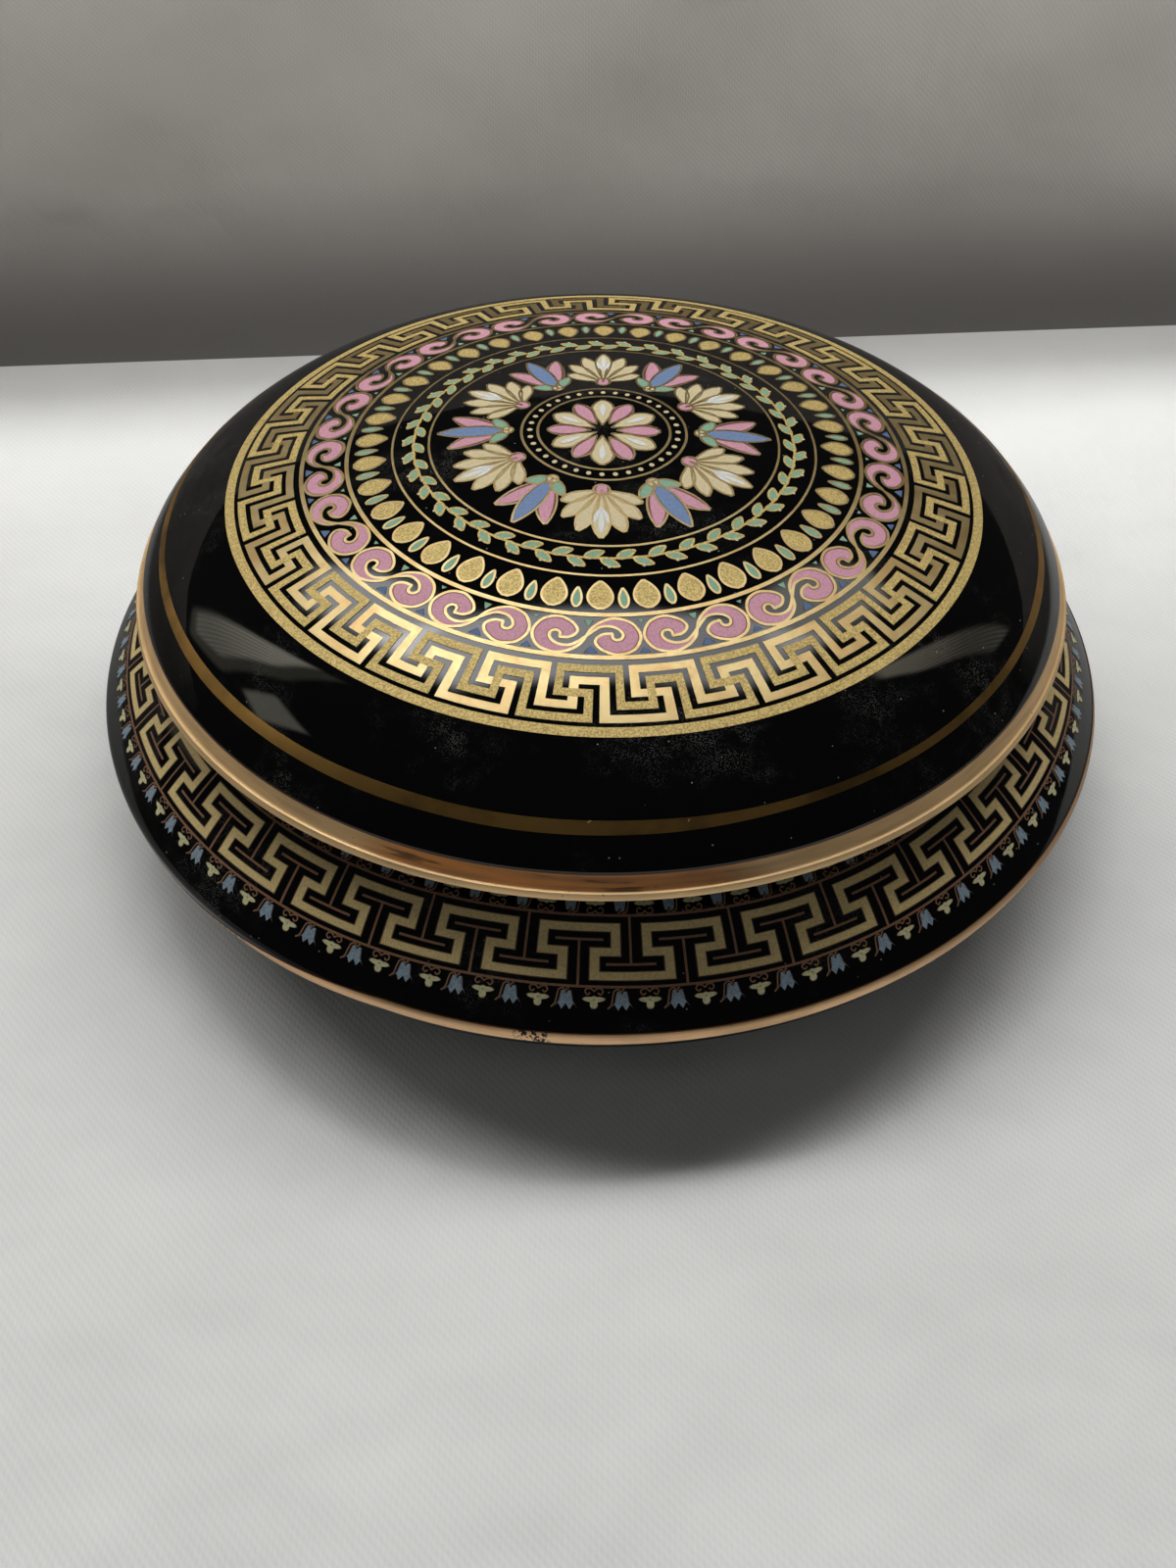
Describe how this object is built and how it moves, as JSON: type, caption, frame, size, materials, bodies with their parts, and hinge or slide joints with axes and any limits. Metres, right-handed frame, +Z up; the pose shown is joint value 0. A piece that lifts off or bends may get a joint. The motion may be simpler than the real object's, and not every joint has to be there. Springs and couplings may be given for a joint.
{
  "type": "trinket box",
  "caption": "Low round ceramic trinket box with a lift-off domed lid, a rolled gilded edge and printed key borders.",
  "frame": {"origin": "middle of the foot ring on the surface that the box stands on", "axes": "+Z up along the axis that the box was turned on, -Y towards the pictured side"},
  "size_m": [0.1404, 0.1404, 0.0511],
  "materials": {
    "black_glaze": "deep black gloss glaze with fine dust and scratches",
    "bare_clay": "unglazed pale clay, matt, on the foot and the seat",
    "matt_gold": "printed matt gold with fine speckle",
    "bright_gold": "printed burnished gold",
    "painted_gold": "hand-painted bright gilding with wear and brush marks",
    "khaki_enamel": "printed khaki cream, satin",
    "brown_line": "printed brown line, satin",
    "pink_enamel": "printed rose pink, satin",
    "blue_enamel": "printed pale blue, satin",
    "green_enamel": "printed grey green, satin",
    "cream_enamel": "printed cream, satin"
  },
  "bodies": {
    "bowl": {"bowl": "black_glaze", "bowl_key_border": "khaki_enamel", "bowl_edge_line": "painted_gold"},
    "lid": {"lid": "black_glaze", "lid_medallion": "cream_enamel", "lid_scroll_border": "pink_enamel", "lid_key_border": "bright_gold", "lid_shoulder_line": "painted_gold", "lid_lip_gilding": "painted_gold"}
  },
  "joints": [
    {"name": "lid_lift", "type": "slide", "parent": "bowl", "child": "lid", "axis": [0, 0, 1], "range_m": [0, 0.05]}
  ]
}
